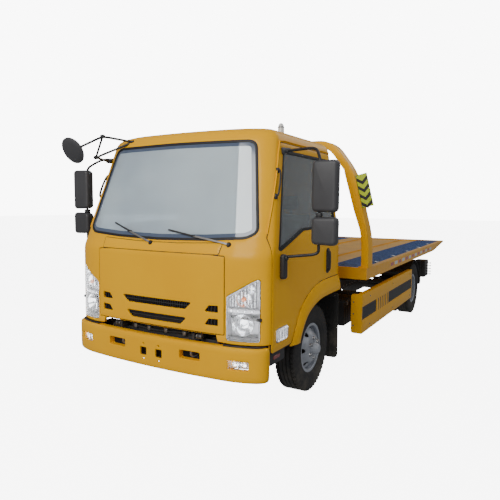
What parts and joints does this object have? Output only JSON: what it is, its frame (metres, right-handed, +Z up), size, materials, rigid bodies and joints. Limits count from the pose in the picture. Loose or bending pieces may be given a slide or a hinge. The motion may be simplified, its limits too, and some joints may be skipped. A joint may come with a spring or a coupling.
{
  "type": "flatbed tow truck",
  "caption": "Flatbed tow truck: tilting forward cab with opening doors, dual rear wheels, and a tilting and sliding recovery deck with gantry hoop, winch and underlift.",
  "frame": {"origin": "on the ground, on the centreline, halfway along the overall length", "axes": "+X towards the vehicle's left side, +Y towards the tail so that the front faces -Y, +Z up"},
  "size_m": [2.794, 7.0699, 2.39],
  "materials": {
    "yellow_paint": "semi-gloss",
    "glass": "gloss",
    "tyre_rubber": "matt",
    "wheel_silver": "satin",
    "dark_plastic": "satin",
    "lamp_clear": "gloss",
    "lamp_red": "gloss",
    "seat_fabric": "matt",
    "lane_plate": "satin",
    "board_yellow": "satin",
    "flap_rubber": "matt",
    "bright_steel": "satin",
    "cast_metal": "matt",
    "black_paint": "satin"
  },
  "bodies": {
    "chassis": {"battery_box": "black_paint", "bumper": "yellow_paint", "cab_brackets": "black_paint", "control_box": "black_paint", "engine_block": "cast_metal", "fog_lamps": "lamp_clear", "frame_rails": "black_paint", "front_axle": "black_paint", "front_mudguards": "flap_rubber", "fuel_tank": "black_paint", "leaf_springs": "black_paint", "propeller_shaft": "black_paint", "radiator": "cast_metal", "rear_axle": "black_paint", "rear_mudguards": "flap_rubber", "side_guards": "yellow_paint", "subframe": "black_paint", "tail_bar": "black_paint", "tail_lamps": "lamp_red"},
    "bed": {"deck": "yellow_paint", "deck_lanes": "lane_plate", "gantry": "yellow_paint", "chevron_boards": "board_yellow", "winch_frame": "black_paint", "slide_rod": "bright_steel"},
    "tilt_frame": {"tilt_frame": "black_paint", "slide_barrel": "black_paint"},
    "winch_drum": {"winch_drum": "bright_steel"},
    "tilt_barrels": {"tilt_barrels": "black_paint"},
    "tilt_rods": {"tilt_rods": "bright_steel"},
    "cab": {"cab_shell": "yellow_paint", "windscreen": "glass", "rear_window": "glass", "headlamps": "lamp_clear", "wipers": "dark_plastic", "near_mirror": "dark_plastic", "roof_lamp": "lamp_clear", "dashboard": "dark_plastic", "seats": "seat_fabric", "steering_wheel": "dark_plastic", "cab_steps": "dark_plastic"},
    "front_lid": {"front_lid": "yellow_paint", "grille": "dark_plastic"},
    "door_left": {"door_left": "yellow_paint", "door_glass_left": "glass", "mirrors_left": "dark_plastic"},
    "knuckle_left": {"knuckle_left": "black_paint"},
    "front_wheel_left": {"rim_front_left": "wheel_silver", "tyre_front_left": "tyre_rubber"},
    "rear_wheels_left": {"rims_rear_left": "wheel_silver", "tyres_rear_left": "tyre_rubber"},
    "door_right": {"door_right": "yellow_paint", "door_glass_right": "glass", "mirrors_right": "dark_plastic"},
    "knuckle_right": {"knuckle_right": "black_paint"},
    "front_wheel_right": {"rim_front_right": "wheel_silver", "tyre_front_right": "tyre_rubber"},
    "rear_wheels_right": {"rims_rear_right": "wheel_silver", "tyres_rear_right": "tyre_rubber"},
    "lift_arm": {"lift_arm": "black_paint"},
    "lift_fork": {"lift_fork": "bright_steel"}
  },
  "joints": [
    {"name": "steer_left", "type": "hinge", "parent": "chassis", "child": "knuckle_left", "pos_m": [0.715, -2.375, 0.39], "axis": [0, 0, 1], "range_deg": [-35, 35]},
    {"name": "front_wheel_left_spin", "type": "hinge", "parent": "knuckle_left", "child": "front_wheel_left", "pos_m": [0.84, -2.375, 0.39], "axis": [1, 0, 0], "continuous": true},
    {"name": "rear_wheels_left_spin", "type": "hinge", "parent": "chassis", "child": "rear_wheels_left", "pos_m": [0.825, 1.44, 0.39], "axis": [1, 0, 0], "continuous": true},
    {"name": "steer_right", "type": "hinge", "parent": "chassis", "child": "knuckle_right", "pos_m": [-0.715, -2.375, 0.39], "axis": [0, 0, 1], "range_deg": [-35, 35]},
    {"name": "front_wheel_right_spin", "type": "hinge", "parent": "knuckle_right", "child": "front_wheel_right", "pos_m": [-0.84, -2.375, 0.39], "axis": [1, 0, 0], "continuous": true},
    {"name": "rear_wheels_right_spin", "type": "hinge", "parent": "chassis", "child": "rear_wheels_right", "pos_m": [-0.825, 1.44, 0.39], "axis": [1, 0, 0], "continuous": true},
    {"name": "cab_tilt", "type": "hinge", "parent": "chassis", "child": "cab", "pos_m": [0, -3.405, 0.665], "axis": [1, 0, 0], "range_deg": [0, 45]},
    {"name": "front_lid_open", "type": "hinge", "parent": "cab", "child": "front_lid", "pos_m": [0, -3.435, 1.312], "axis": [-1, 0, 0], "range_deg": [0, 65]},
    {"name": "door_left_open", "type": "hinge", "parent": "cab", "child": "door_left", "pos_m": [0.977, -3.253, 1], "axis": [0, 0, -1], "range_deg": [0, 70]},
    {"name": "door_right_open", "type": "hinge", "parent": "cab", "child": "door_right", "pos_m": [-0.977, -3.253, 1], "axis": [0, 0, 1], "range_deg": [0, 70]},
    {"name": "bed_tilt", "type": "hinge", "parent": "chassis", "child": "tilt_frame", "pos_m": [0, 2.585, 0.8], "axis": [-1, 0, 0], "range_deg": [0, 13.4]},
    {"name": "bed_slide", "type": "slide", "parent": "tilt_frame", "child": "bed", "axis": [0, 1, 0], "range_m": [0, 3.2]},
    {"name": "winch_spin", "type": "hinge", "parent": "bed", "child": "winch_drum", "pos_m": [0, -1.115, 1.149], "axis": [1, 0, 0], "continuous": true},
    {"name": "tilt_barrels_swing", "type": "hinge", "parent": "chassis", "child": "tilt_barrels", "pos_m": [0, -0.375, 0.59], "axis": [1, 0, 0], "range_deg": [0, 18.28]},
    {"name": "tilt_rods_slide", "type": "slide", "parent": "tilt_barrels", "child": "tilt_rods", "axis": [0, 0.9685, 0.249], "range_m": [0, 0.242]},
    {"name": "lift_arm_swing", "type": "hinge", "parent": "chassis", "child": "lift_arm", "pos_m": [0, 2.405, 0.46], "axis": [-1, 0, 0], "range_deg": [0, 12]},
    {"name": "lift_fork_slide", "type": "slide", "parent": "lift_arm", "child": "lift_fork", "axis": [0, 1, 0], "range_m": [0, 0.45]}
  ],
  "couplings": [
    {"joint": "steer_right", "follows": "steer_left", "ratio": 1},
    {"joint": "tilt_barrels_swing", "follows": "bed_tilt", "ratio": 1.3495},
    {"joint": "tilt_rods_slide", "follows": "bed_tilt", "m_per_rad": 1.0219}
  ]
}
